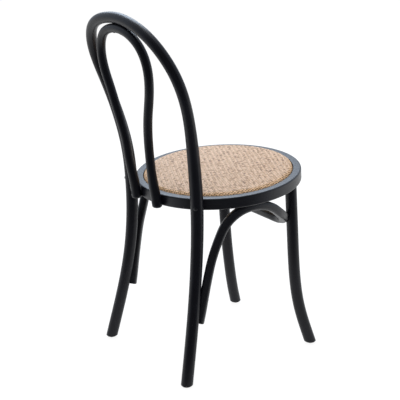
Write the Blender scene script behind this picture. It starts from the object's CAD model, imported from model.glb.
import math

import bmesh
import bpy
import numpy as np
from mathutils import Matrix, Vector, geometry


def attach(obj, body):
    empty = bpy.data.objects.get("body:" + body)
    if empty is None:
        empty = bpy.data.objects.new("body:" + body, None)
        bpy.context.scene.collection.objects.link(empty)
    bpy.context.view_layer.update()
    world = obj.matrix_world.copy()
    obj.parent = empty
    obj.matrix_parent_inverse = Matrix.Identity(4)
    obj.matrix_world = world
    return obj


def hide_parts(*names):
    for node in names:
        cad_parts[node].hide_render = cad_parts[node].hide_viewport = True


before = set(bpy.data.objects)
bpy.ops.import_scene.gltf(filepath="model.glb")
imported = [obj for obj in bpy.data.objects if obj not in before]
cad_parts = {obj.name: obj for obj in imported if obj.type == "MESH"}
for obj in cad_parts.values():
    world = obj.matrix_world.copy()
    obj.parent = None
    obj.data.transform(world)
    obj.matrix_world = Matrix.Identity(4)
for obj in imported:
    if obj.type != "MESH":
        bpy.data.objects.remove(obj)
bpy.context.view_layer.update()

# Where things are, in metres. The chair's own frame has its origin under the middle of the seat ring;
# the shared frame has it under the middle of the outline, CHAIR_SHIFT further back.
CHAIR_SHIFT = 0.04107
SEAT_SLOPE = math.radians(3.7)
SEAT_TOP = 0.457


def seat_matrix():
    """From a frame on top of the seat ring to the shared frame."""
    return Matrix.Translation((0, -CHAIR_SHIFT, SEAT_TOP)) @ Matrix.Rotation(-SEAT_SLOPE, 4, "X")


# Node helpers


def new_material(name):
    material = bpy.data.materials.new(name)
    material.use_nodes = True
    nodes = material.node_tree.nodes
    shader = nodes["Principled BSDF"]
    return material, material.node_tree, shader


def link(tree, source, target):
    tree.links.new(source, target)


def noise(tree, vector, scale, detail=4, roughness=0.55):
    made = tree.nodes.new("ShaderNodeTexNoise")
    made.inputs["Scale"].default_value = scale
    made.inputs["Detail"].default_value = detail
    made.inputs["Roughness"].default_value = roughness
    link(tree, vector, made.inputs["Vector"])
    return made.outputs["Fac"]


def ramp(tree, factor, stops):
    made = tree.nodes.new("ShaderNodeValToRGB")
    elements = made.color_ramp.elements
    while len(elements) < len(stops):
        elements.new(0.5)
    for element, (place, color) in zip(elements, stops):
        element.position = place
        element.color = (*color, 1) if len(color) == 3 else color
    link(tree, factor, made.inputs["Fac"])
    return made.outputs["Color"]


def grey(value):
    return (value, value, value)


def mapped(tree, vector, scale):
    made = tree.nodes.new("ShaderNodeMapping")
    made.inputs["Scale"].default_value = scale
    link(tree, vector, made.inputs["Vector"])
    return made.outputs["Vector"]


def object_coords(tree):
    return tree.nodes.new("ShaderNodeTexCoord").outputs["Object"]


def bump(tree, height, shader, strength, distance):
    made = tree.nodes.new("ShaderNodeBump")
    made.inputs["Strength"].default_value = strength
    made.inputs["Distance"].default_value = distance
    link(tree, height, made.inputs["Height"])
    link(tree, made.outputs["Normal"], shader.inputs["Normal"])


def mix_color(tree, factor, one, other):
    made = tree.nodes.new("ShaderNodeMix")
    made.data_type = "RGBA"
    if isinstance(factor, float):
        made.inputs[0].default_value = factor
    else:
        link(tree, factor, made.inputs[0])
    for socket, value in ((6, one), (7, other)):
        if isinstance(value, tuple):
            made.inputs[socket].default_value = (*value, 1)
        else:
            link(tree, value, made.inputs[socket])
    return made.outputs[2]


# Materials

ROD_IOR = 1.33
RING_IOR = 1.5


def lacquered_wood(name, grain_scale, ior):
    """Black lacquer over beech: satin, with fine pores and a slight orange peel."""
    material, tree, shader = new_material(name)
    coords = object_coords(tree)
    mottle = noise(tree, coords, 28)
    pores = noise(tree, mapped(tree, coords, grain_scale), 1.0, detail=6, roughness=0.7)
    base = ramp(tree, mottle, [(0.3, (0.0020, 0.0022, 0.0046)), (0.7, (0.0040, 0.0044, 0.0080))])
    dusty = ramp(tree, pores, [(0.36, (0.0012, 0.0013, 0.0026)), (0.5, (0.0036, 0.0039, 0.0070))])
    link(tree, mix_color(tree, 0.45, base, dusty), shader.inputs["Base Color"])
    rough = ramp(tree, pores, [(0.3, grey(0.40)), (0.7, grey(0.34))])
    link(tree, rough, shader.inputs["Roughness"])
    shader.inputs["IOR"].default_value = ior
    bump(tree, pores, shader, 0.05, 0.0003)
    return material


black_rod = lacquered_wood("black_rod", (130, 130, 60), ROD_IOR)
black_ring = lacquered_wood("black_ring", (90, 90, 160), RING_IOR)


def woven_material():
    """Split rattan: each strand has its own tan, fibres run along it, and the gaps are dark."""
    material, tree, shader = new_material("woven_rattan")
    strand = tree.nodes.new("ShaderNodeAttribute")
    strand.attribute_name = "strand_tone"
    depth = tree.nodes.new("ShaderNodeAttribute")
    depth.attribute_name = "strand_depth"
    fibre = tree.nodes.new("ShaderNodeAttribute")
    fibre.attribute_name = "fibre"
    streaks = noise(tree, fibre.outputs["Vector"], 1.0, detail=5, roughness=0.6)
    tone = ramp(
        tree,
        strand.outputs["Fac"],
        [
            (0.0, (0.17, 0.10, 0.06)),
            (0.3, (0.39, 0.235, 0.128)),
            (0.65, (0.68, 0.445, 0.275)),
            (1.0, (0.845, 0.60, 0.412)),
        ],
    )
    streaked = mix_color(tree, ramp(tree, streaks, [(0.45, grey(0.0)), (0.75, grey(0.6))]), tone,
                         (0.42, 0.255, 0.15))
    rim = tree.nodes.new("ShaderNodeAttribute")
    rim.attribute_name = "rim_warmth"
    warmed = mix_color(tree, rim.outputs["Fac"], streaked, (0.95, 0.62, 0.33))
    shaded = mix_color(
        tree,
        ramp(tree, depth.outputs["Fac"], [(0.5, grey(1.0)), (0.72, grey(0.0))]),
        warmed,
        (0.045, 0.025, 0.015),
    )
    link(tree, shaded, shader.inputs["Base Color"])
    shader.inputs["Roughness"].default_value = 0.55
    shader.inputs["IOR"].default_value = 1.4
    bump(tree, streaks, shader, 0.25, 0.0002)
    return material


def plywood_material():
    material, tree, shader = new_material("plywood")
    coords = object_coords(tree)
    grain = noise(tree, mapped(tree, coords, (6, 90, 30)), 1.0, detail=6, roughness=0.65)
    figure = noise(tree, mapped(tree, coords, (2, 14, 4)), 1.0, detail=3)
    base = ramp(tree, figure, [(0.3, (0.50, 0.35, 0.21)), (0.7, (0.64, 0.48, 0.31))])
    dark = ramp(tree, grain, [(0.35, (0.36, 0.23, 0.13)), (0.6, (0.62, 0.46, 0.30))])
    link(tree, mix_color(tree, 0.5, base, dark), shader.inputs["Base Color"])
    shader.inputs["Roughness"].default_value = 0.68
    bump(tree, grain, shader, 0.2, 0.0003)
    return material


def metal_material(name, color, roughness, scratch):
    material, tree, shader = new_material(name)
    coords = object_coords(tree)
    fine = noise(tree, coords, scratch, detail=5)
    tint = tuple(0.75 * channel for channel in color)
    link(tree, ramp(tree, fine, [(0.3, tint), (0.7, color)]), shader.inputs["Base Color"])
    link(tree, ramp(tree, fine, [(0.3, grey(roughness + 0.1)), (0.7, grey(roughness - 0.05))]),
         shader.inputs["Roughness"])
    shader.inputs["Metallic"].default_value = 1.0
    bump(tree, fine, shader, 0.1, 0.0001)
    return material


def nylon_material():
    material, tree, shader = new_material("glide_nylon")
    coords = object_coords(tree)
    scuffs = noise(tree, coords, 350, detail=6)
    link(tree, ramp(tree, scuffs, [(0.35, (0.008, 0.008, 0.009)), (0.6, (0.016, 0.016, 0.017))]),
         shader.inputs["Base Color"])
    link(tree, ramp(tree, scuffs, [(0.3, grey(0.6)), (0.7, grey(0.4))]), shader.inputs["Roughness"])
    bump(tree, scuffs, shader, 0.15, 0.0002)
    return material


plywood = plywood_material()
black_oxide = metal_material("black_oxide", (0.045, 0.045, 0.05), 0.42, 900)
zinc = metal_material("zinc_plate", (0.62, 0.62, 0.58), 0.36, 700)
nylon = nylon_material()
woven_rattan = woven_material()

FINISHES = [
    (black_rod, ("back_frame", "inner_loop", "front_leg_left", "front_leg_right")),
    (black_ring, ("seat_ring", "brace")),
    (plywood, ("seat_board",)),
    (woven_rattan, ("rattan_cover",)),
    (zinc, ("rear_leg_washers", "rear_leg_nuts", "seat_board_screws", "glide_nails")),
    (nylon, ("glide_front_left", "glide_front_right", "glide_rear_left", "glide_rear_right")),
    (
        black_oxide,
        (
            "rear_leg_bolts",
            "loop_end_screws",
            "loop_top_screws",
            "brace_rear_screws",
            "brace_ring_screws",
            "brace_front_screws",
        ),
    ),
]
for material, names in FINISHES:
    for name in names:
        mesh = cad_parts[name].data
        mesh.materials.clear()
        mesh.materials.append(material)

# Woven pad

# the weave: pitch and direction of both sets of strands, and the lattice steps in one pitch
PITCH_A = 0.00541
PITCH_B = 0.00533
TURN_A = math.radians(107.0)
TURN_B = math.radians(19.8)
STEPS = 6
# a strand's pattern repeats after this many crossings
TWILL = 3
STRAND_RISE = 0.0006
STRAND_CROWN = 0.0008
STRAND_SHARPNESS = 2.5
LIFT_STEEPNESS = 1.4
LIFT_SHARE = 0.5
# the pad's form: heights over the ring's top, then radii
CROWN = 0.0150
EDGE = 0.0065
LEDGE = -0.0085
BOARD_BOTTOM = -0.0069
BOARD_TOP = -0.0014
EDGE_ROUND = 0.0090
COVER_OUTER = 0.1844
BOARD_SIDE = 0.1828
TUCK_INNER = 0.1688
CROWN_POINTS = 120
ROUND_POINTS = 24
SIDE_POINTS = 14
SLOPE_STEP = 0.0005
RIM_POINTS = 1200
RIM_MARGIN = 0.0004
# the relief fades out over this width at the sheet's edge
FADE = 0.004
# strand colours
SEED = 11
TONE_A = 0.93
TONE_B = 0.79
TONE_STRAND = 0.12
TONE_PATCH = 0.65
PATCH_POWER = 3
FIBRES = 9
FIBRE_SHIFT_A = 17.3
FIBRE_SHIFT_B = 13.7
FIBRE_SHIFT_SET = 40.0
RIM_WIDTH = 0.022
RIM_WARMTH = 0.8
# the cloth that gives the crown its form
PRESS_RINGS = 20
PRESS_SPOKES = 48
PRESS_FRAMES = 20
PRESS_FORCE = 4


def pressed_profile(width):
    """How the padding lifts the cover: radii up to width, and the height over the rim, 1 in the middle.

    A round cloth of that width is held at its rim and pressed from below.
    """
    radii = np.linspace(0, width, PRESS_RINGS + 1)
    turn = np.linspace(0, 2 * math.pi, PRESS_SPOKES, endpoint=False)
    points = [(0, 0, 0)]
    for radius in radii[1:]:
        points += [(radius * math.cos(angle), radius * math.sin(angle), 0) for angle in turn]
    faces = []
    for spoke in range(PRESS_SPOKES):
        after = (spoke + 1) % PRESS_SPOKES
        faces.append((0, 1 + spoke, 1 + after))
        for ring in range(PRESS_RINGS - 1):
            inner = 1 + ring * PRESS_SPOKES
            outer = inner + PRESS_SPOKES
            faces.append((inner + spoke, outer + spoke, outer + after, inner + after))
    mesh = bpy.data.meshes.new("pressed_cloth")
    mesh.from_pydata(points, [], faces)
    cloth = bpy.data.objects.new("pressed_cloth", mesh)
    bpy.context.scene.collection.objects.link(cloth)
    held = cloth.vertex_groups.new(name="held")
    held.add(list(range(len(points) - PRESS_SPOKES, len(points))), 1.0, "REPLACE")
    settings = cloth.modifiers.new("cloth", "CLOTH").settings
    settings.vertex_group_mass = "held"
    settings.use_pressure = True
    settings.uniform_pressure_force = PRESS_FORCE
    settings.effector_weights.gravity = 0
    for step in range(1, PRESS_FRAMES + 1):
        bpy.context.scene.frame_set(step)
    pressed = cloth.evaluated_get(bpy.context.evaluated_depsgraph_get()).data
    moved = np.array([point.co for point in pressed.vertices])
    bpy.context.scene.frame_set(1)
    bpy.data.objects.remove(cloth)
    rings = moved[1:].reshape(PRESS_RINGS, PRESS_SPOKES, 3)
    reach = np.concatenate([[0], np.hypot(rings[..., 0], rings[..., 1]).mean(axis=1)])
    lift = np.concatenate([moved[:1, 2], rings[..., 2].mean(axis=1)])
    print("cloth: lifted by", round(float(lift[0]), 5), "m")
    return reach, lift / lift[0]


def meridian():
    """The pad's outline from its middle outward and down: the distances along it, and its points."""
    flat_end = COVER_OUTER - EDGE_ROUND
    reach, lift = pressed_profile(flat_end)
    radii = np.linspace(0, flat_end, CROWN_POINTS)
    points = [(r, EDGE + (CROWN - EDGE) * np.interp(r, reach, lift)) for r in radii]
    lean = math.atan2(points[-2][1] - points[-1][1], points[-1][0] - points[-2][0])
    centre = (flat_end - math.sin(lean) * EDGE_ROUND, EDGE - math.cos(lean) * EDGE_ROUND)
    for angle in np.linspace(lean, math.pi / 2, ROUND_POINTS)[1:]:
        points.append((centre[0] + math.sin(angle) * EDGE_ROUND, centre[1] + math.cos(angle) * EDGE_ROUND))
    side = points[-1][0]
    for z in np.linspace(points[-1][1], LEDGE, SIDE_POINTS)[1:]:
        points.append((side, z))
    points = np.array(points)
    steps = np.hypot(*np.diff(points, axis=0).T)
    return np.concatenate([[0], np.cumsum(steps)]), points


ARC, OUTLINE = meridian()
SHEET_REACH = ARC[-1]


def on_pad(x, y, height):
    """Points of the flat sheet laid over the pad and lifted by height along the pad's normal."""
    s = np.hypot(x, y)
    inside = np.minimum(s, SHEET_REACH)
    r = np.interp(inside, ARC, OUTLINE[:, 0])
    z = np.interp(inside, ARC, OUTLINE[:, 1])
    ahead = np.minimum(inside + SLOPE_STEP, SHEET_REACH)
    behind = np.maximum(inside - SLOPE_STEP, 0)
    dr = np.interp(ahead, ARC, OUTLINE[:, 0]) - np.interp(behind, ARC, OUTLINE[:, 0])
    dz = np.interp(ahead, ARC, OUTLINE[:, 1]) - np.interp(behind, ARC, OUTLINE[:, 1])
    length = np.maximum(np.hypot(dr, dz), 1e-9)
    r = r - dz / length * height
    z = z + dr / length * height
    scale = np.where(s > 1e-9, 1 / np.maximum(s, 1e-9), 0)
    return np.stack([x * scale * r, y * scale * r, z], axis=-1)


def strand_profile(across):
    """Crown of a strand's section across its width, 1 in its middle and falling steeply at its edges."""
    offset = 2 * (across - np.floor(across)) - 1
    return 1 - np.abs(offset) ** STRAND_SHARPNESS


def weave(x, y):
    """The weave over points of the flat sheet: its height, whether strand A is on top, and both strand
    coordinates. A strand A goes over two and under one; a strand B goes over one and under two."""
    a = (x * math.cos(TURN_A) + y * math.sin(TURN_A)) / PITCH_A
    b = (x * math.cos(TURN_B) + y * math.sin(TURN_B)) / PITCH_B
    wave_a = np.cos(2 * math.pi * (np.floor(a) + b - 0.5) / TWILL)
    wave_b = np.cos(2 * math.pi * (np.floor(b) + a - 0.5) / TWILL)
    lift_a = np.clip(LIFT_SHARE - LIFT_STEEPNESS * wave_a, -1, 1)
    lift_b = np.clip(LIFT_STEEPNESS * wave_b - LIFT_SHARE, -1, 1)
    height_a = STRAND_RISE * lift_a + STRAND_CROWN * (strand_profile(a) - 1)
    height_b = STRAND_RISE * lift_b + STRAND_CROWN * (strand_profile(b) - 1)
    return np.maximum(height_a, height_b), height_a > height_b, a, b


def sheet_points():
    """The flat sheet as a lattice along the strands, closed by a round edge.

    Returns the points and the faces; the last RIM_POINTS points are the edge, in order.
    """
    span = int(SHEET_REACH / min(PITCH_A, PITCH_B)) + 3
    ticks = np.arange(-span * STEPS, span * STEPS + 1) / STEPS
    a, b = np.meshgrid(ticks * PITCH_A, ticks * PITCH_B, indexing="ij")
    cos_a, sin_a, cos_b, sin_b = math.cos(TURN_A), math.sin(TURN_A), math.cos(TURN_B), math.sin(TURN_B)
    spread = cos_a * sin_b - cos_b * sin_a
    x = (a * sin_b - b * sin_a) / spread
    y = (b * cos_a - a * cos_b) / spread
    keep = np.hypot(x, y) < SHEET_REACH - RIM_MARGIN
    whole = keep[:-1, :-1] & keep[1:, :-1] & keep[1:, 1:] & keep[:-1, 1:]
    used = np.zeros_like(keep)
    for rows, columns in ((slice(None, -1), slice(None, -1)), (slice(1, None), slice(None, -1)),
                          (slice(1, None), slice(1, None)), (slice(None, -1), slice(1, None))):
        used[rows, columns] |= whole
    index = -np.ones(keep.shape, int)
    index[used] = np.arange(used.sum())
    quads = np.stack([index[:-1, :-1], index[1:, :-1], index[1:, 1:], index[:-1, 1:]], axis=-1)[whole]
    inner = np.stack([x[used], y[used]], axis=-1)
    turn = np.linspace(0, 2 * math.pi, RIM_POINTS, endpoint=False)
    rim = SHEET_REACH * np.stack([np.cos(turn), np.sin(turn)], axis=-1)
    # the strip between the lattice and the round edge
    sides = {}
    for quad in quads:
        for i in range(4):
            one, other = int(quad[i]), int(quad[(i + 1) % 4])
            key = (min(one, other), max(one, other))
            sides[key] = sides.get(key, 0) + 1
    border = [key for key, times in sides.items() if times == 1]
    border_points = sorted({point for key in border for point in key})
    local = {point: i for i, point in enumerate(border_points)}
    count = len(border_points)
    flat = [Vector(inner[point]) for point in border_points] + [Vector(point) for point in rim]
    edges = [(local[one], local[other]) for one, other in border]
    edges += [(count + i, count + (i + 1) % RIM_POINTS) for i in range(RIM_POINTS)]
    _, _, faces, originals, _, _ = geometry.delaunay_2d_cdt(flat, edges, [], 0, 1e-7)
    back = border_points + list(range(len(inner), len(inner) + RIM_POINTS))
    strip = []
    for face in faces:
        corners = [back[originals[i][0]] for i in face]
        spot = sum((flat[originals[i][0]] for i in face), Vector((0, 0))) / len(face)
        row = int(math.floor((spot.x * cos_a + spot.y * sin_a) / PITCH_A * STEPS)) + span * STEPS
        column = int(math.floor((spot.x * cos_b + spot.y * sin_b) / PITCH_B * STEPS)) + span * STEPS
        if not whole[row, column]:
            strip.append(corners)
    return np.concatenate([inner, rim]), quads.tolist() + strip, span


def woven_sheet():
    """The woven outside of the pad, with its attributes."""
    flat, faces, span = sheet_points()
    # a hair off the strands' edges, so that each point belongs to one strand
    height, top, a, b = weave(flat[:, 0] + 1e-7, flat[:, 1] + 1e-7)
    reach = np.hypot(flat[:, 0], flat[:, 1])
    fade = np.clip((SHEET_REACH - reach) / FADE, 0, 1)
    points = on_pad(flat[:, 0], flat[:, 1], (height - STRAND_RISE) * fade)
    strand_a = np.floor(a).astype(int) + 2 * span
    strand_b = np.floor(b).astype(int) + 2 * span
    chance = np.random.default_rng(SEED)
    strands = chance.random((2, 4 * span))
    patches = chance.random((4 * span, 4 * span)) ** PATCH_POWER
    own = np.where(top, strands[0][strand_a], strands[1][strand_b])
    tone = np.where(top, TONE_A, TONE_B) + TONE_STRAND * (own - 0.5)
    tone -= TONE_PATCH * patches[strand_a, strand_b]
    depth = np.clip(1 + (height - STRAND_RISE) / (2 * STRAND_CROWN), 0, 1)
    along = np.where(top, b + strand_a * FIBRE_SHIFT_A, a + strand_b * FIBRE_SHIFT_B)
    across = np.where(top, a, b) * FIBRES
    fibre = np.stack([along, across, np.where(top, 0.0, FIBRE_SHIFT_SET)], axis=-1)
    warmth = RIM_WARMTH * np.clip(1 - (SHEET_REACH - reach) / RIM_WIDTH, 0, 1)
    return points, faces, tone, depth, fibre, warmth


def add_attribute(mesh, name, kind, values):
    attribute = mesh.attributes.new(name, kind, "POINT")
    key = "vector" if kind == "FLOAT_VECTOR" else "value"
    attribute.data.foreach_set(key, np.asarray(values, np.float32).ravel())


def padded_to(values, count, filler):
    """An attribute's values with a filler for the points that follow the sheet's."""
    extra = np.full((count - len(values), *values.shape[1:]), filler)
    return np.concatenate([values, extra])


def build_pad():
    """The cushion: woven outside, tucked edge, and the hollow that its board sits in."""
    points, faces, tone, depth, fibre, warmth = woven_sheet()
    inside = [
        (TUCK_INNER, LEDGE),
        (TUCK_INNER, BOARD_BOTTOM),
        (BOARD_SIDE, BOARD_BOTTOM),
        (BOARD_SIDE, BOARD_TOP),
        (BOARD_SIDE / 2, BOARD_TOP),
    ]
    turn = np.linspace(0, 2 * math.pi, RIM_POINTS, endpoint=False)
    last = len(points) - RIM_POINTS
    for radius, height in inside:
        ring = np.stack([radius * np.cos(turn), radius * np.sin(turn), np.full(RIM_POINTS, height)], axis=-1)
        start = len(points)
        points = np.concatenate([points, ring])
        for i in range(RIM_POINTS):
            j = (i + 1) % RIM_POINTS
            faces.append([last + i, start + i, start + j, last + j])
        last = start
    points = np.concatenate([points, [[0, 0, BOARD_TOP]]])
    middle = len(points) - 1
    for i in range(RIM_POINTS):
        faces.append([last + i, middle, last + (i + 1) % RIM_POINTS])
    mesh = bpy.data.meshes.new("woven_seat_pad")
    mesh.from_pydata(points.tolist(), [], faces)
    add_attribute(mesh, "strand_tone", "FLOAT", padded_to(tone, len(points), 0.5))
    add_attribute(mesh, "strand_depth", "FLOAT", padded_to(depth, len(points), 0.5))
    add_attribute(mesh, "fibre", "FLOAT_VECTOR", padded_to(fibre, len(points), 0.0))
    add_attribute(mesh, "rim_warmth", "FLOAT", padded_to(warmth, len(points), 0.0))
    work = bmesh.new()
    work.from_mesh(mesh)
    bmesh.ops.recalc_face_normals(work, faces=work.faces)
    open_edges = [edge for edge in work.edges if not edge.is_manifold]
    print("pad:", len(work.verts), "points,", len(open_edges), "open edges")
    work.to_mesh(mesh)
    work.free()
    mesh.shade_smooth()
    mesh.transform(seat_matrix())
    pad = bpy.data.objects.new("woven_seat_pad", mesh)
    bpy.context.scene.collection.objects.link(pad)
    mesh.materials.append(woven_rattan)
    return pad


pad = build_pad()
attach(pad, "root")
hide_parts("rattan_cover", "seat_foam")

# Floor, light and camera

LIGHT_AIM = (0, 0, 0.45)
# the floor, which ends FLOOR_APRON from the chair's middle on the dim side
FLOOR_SIZE = 14
FLOOR_DROP = 0.0005
FLOOR_APRON = 0.45
FLOOR_PLAIN = (0.85, 0.85, 0.85)
FLOOR_SHADOW = (0.17, 0.17, 0.17)
FLOOR_GLOW = 0.91
# horizontal direction of the studio's dim side, and how reflections fall off towards it
DIM_SIDE = (-0.819, 0.574, 0.0)
DIM_FROM = 0.0
DIM_FULL = 0.6
SWEEP_WHITE = (0.8, 0.88, 1.0)
SWEEP_DIM = (0.05, 0.054, 0.062)
# how the soft light falls off from the dim side, where it is strongest, to the sweep
SOFT_FULL_AT = 0.7
SOFT_LEAST_AT = -0.3
SOFT_LEAST = 0.55


def seen_directly(tree):
    """1 for what the camera, reflections and clear pieces see, 0 for light on the object."""
    path = tree.nodes.new("ShaderNodeLightPath")
    largest = path.outputs["Is Camera Ray"]
    for ray in ("Is Glossy Ray", "Is Transmission Ray"):
        both = tree.nodes.new("ShaderNodeMath")
        both.operation = "MAXIMUM"
        link(tree, largest, both.inputs[0])
        link(tree, path.outputs[ray], both.inputs[1])
        largest = both.outputs[0]
    return largest


def stage_floor():
    """White paper: plain pale grey to the light, and white with the chair's soft shadow to the eye."""
    middle = Vector(DIM_SIDE) * (FLOOR_APRON - FLOOR_SIZE / 2)
    turn = (0, 0, math.atan2(DIM_SIDE[1], DIM_SIDE[0]))
    bpy.ops.mesh.primitive_plane_add(size=FLOOR_SIZE, location=(*middle[:2], -FLOOR_DROP), rotation=turn)
    floor = bpy.context.object
    floor.name = "floor"
    material = bpy.data.materials.new("floor_paper")
    material.use_nodes = True
    tree = material.node_tree
    tree.nodes.clear()
    plain = tree.nodes.new("ShaderNodeBsdfDiffuse")
    plain.inputs["Color"].default_value = (*FLOOR_PLAIN, 1)
    shadow = tree.nodes.new("ShaderNodeBsdfDiffuse")
    shadow.inputs["Color"].default_value = (*FLOOR_SHADOW, 1)
    glow = tree.nodes.new("ShaderNodeEmission")
    glow.inputs["Strength"].default_value = FLOOR_GLOW
    seen = tree.nodes.new("ShaderNodeAddShader")
    link(tree, shadow.outputs[0], seen.inputs[0])
    link(tree, glow.outputs[0], seen.inputs[1])
    mix = tree.nodes.new("ShaderNodeMixShader")
    link(tree, seen_directly(tree), mix.inputs[0])
    link(tree, plain.outputs[0], mix.inputs[1])
    link(tree, seen.outputs[0], mix.inputs[2])
    out = tree.nodes.new("ShaderNodeOutputMaterial")
    link(tree, mix.outputs[0], out.inputs["Surface"])
    floor.data.materials.append(material)


def world_light(strength):
    """Soft light all round; the eye sees plain white, and reflections see the white sweep with the dim
    side of the studio across from it."""
    world = bpy.data.worlds.new("studio")
    bpy.context.scene.world = world
    world.use_nodes = True
    tree = world.node_tree
    tree.nodes.clear()
    out = tree.nodes.new("ShaderNodeOutputWorld")
    light = tree.nodes.new("ShaderNodeBackground")
    light.inputs["Strength"].default_value = strength
    white = tree.nodes.new("ShaderNodeBackground")
    white.inputs["Color"].default_value = (1, 1, 1, 1)
    studio = tree.nodes.new("ShaderNodeBackground")
    direction = tree.nodes.new("ShaderNodeTexCoord").outputs["Generated"]
    toward_dim = tree.nodes.new("ShaderNodeVectorMath")
    toward_dim.operation = "DOT_PRODUCT"
    toward_dim.inputs[1].default_value = DIM_SIDE
    link(tree, direction, toward_dim.inputs[0])
    side = toward_dim.outputs["Value"]
    link(tree, ramp(tree, side, [(DIM_FROM, SWEEP_WHITE), (DIM_FULL, SWEEP_DIM)]), studio.inputs["Color"])
    nearness = tree.nodes.new("ShaderNodeMapRange")
    nearness.inputs["From Min"].default_value = SOFT_LEAST_AT
    nearness.inputs["From Max"].default_value = SOFT_FULL_AT
    link(tree, side, nearness.inputs["Value"])
    link(tree, ramp(tree, nearness.outputs["Result"], [(0.0, grey(SOFT_LEAST)), (1.0, grey(1.0))]),
         light.inputs["Color"])
    path = tree.nodes.new("ShaderNodeLightPath")
    reflected = tree.nodes.new("ShaderNodeMixShader")
    link(tree, path.outputs["Is Glossy Ray"], reflected.inputs[0])
    link(tree, white.outputs[0], reflected.inputs[1])
    link(tree, studio.outputs[0], reflected.inputs[2])
    mix = tree.nodes.new("ShaderNodeMixShader")
    link(tree, seen_directly(tree), mix.inputs[0])
    link(tree, light.outputs[0], mix.inputs[1])
    link(tree, reflected.outputs[0], mix.inputs[2])
    link(tree, mix.outputs[0], out.inputs["Surface"])


def area_light(name, place, width, power, color):
    data = bpy.data.lights.new(name, "AREA")
    data.color = color
    data.shape = "SQUARE"
    data.size = width
    data.energy = power
    lamp = bpy.data.objects.new(name, data)
    bpy.context.scene.collection.objects.link(lamp)
    direction = Vector(LIGHT_AIM) - Vector(place)
    lamp.matrix_world = Matrix.Translation(place) @ direction.to_track_quat("-Z", "Y").to_matrix().to_4x4()


stage_floor()
world_light(strength=0.93)
area_light("key", place=(0.5, -0.35, 2.9), width=1.8, power=11, color=(1.0, 0.96, 0.92))
area_light("back", place=(1.4, -0.65, 2.0), width=1.4, power=34, color=(0.72, 0.84, 1.0))

# the camera, fitted to the photo
CAMERA_TURN = math.radians(234.954)
CAMERA_RISE = math.radians(18.485)
CAMERA_ROLL = math.radians(-0.521)
CAMERA_DISTANCE = 2.90457
CAMERA_AIM = Vector((0.078657, -CHAIR_SHIFT, 0.356937))
FOCAL_PIXELS = 1137.316
PHOTO_WIDTH = 400
SENSOR = 36.0


def stage_camera():
    back = Vector(
        (
            math.sin(CAMERA_TURN) * math.cos(CAMERA_RISE),
            -math.cos(CAMERA_TURN) * math.cos(CAMERA_RISE),
            math.sin(CAMERA_RISE),
        )
    )
    level = Vector((math.cos(CAMERA_TURN), math.sin(CAMERA_TURN), 0))
    above = back.cross(level)
    right = level * math.cos(CAMERA_ROLL) + above * math.sin(CAMERA_ROLL)
    up = above * math.cos(CAMERA_ROLL) - level * math.sin(CAMERA_ROLL)
    data = bpy.data.cameras.new("camera")
    data.sensor_width = SENSOR
    data.lens = FOCAL_PIXELS / PHOTO_WIDTH * SENSOR
    camera = bpy.data.objects.new("camera", data)
    bpy.context.scene.collection.objects.link(camera)
    turn = Matrix((right, up, back)).transposed().to_4x4()
    camera.matrix_world = Matrix.Translation(CAMERA_AIM + back * CAMERA_DISTANCE) @ turn
    bpy.context.scene.camera = camera


stage_camera()
bpy.context.scene.view_settings.view_transform = "Standard"
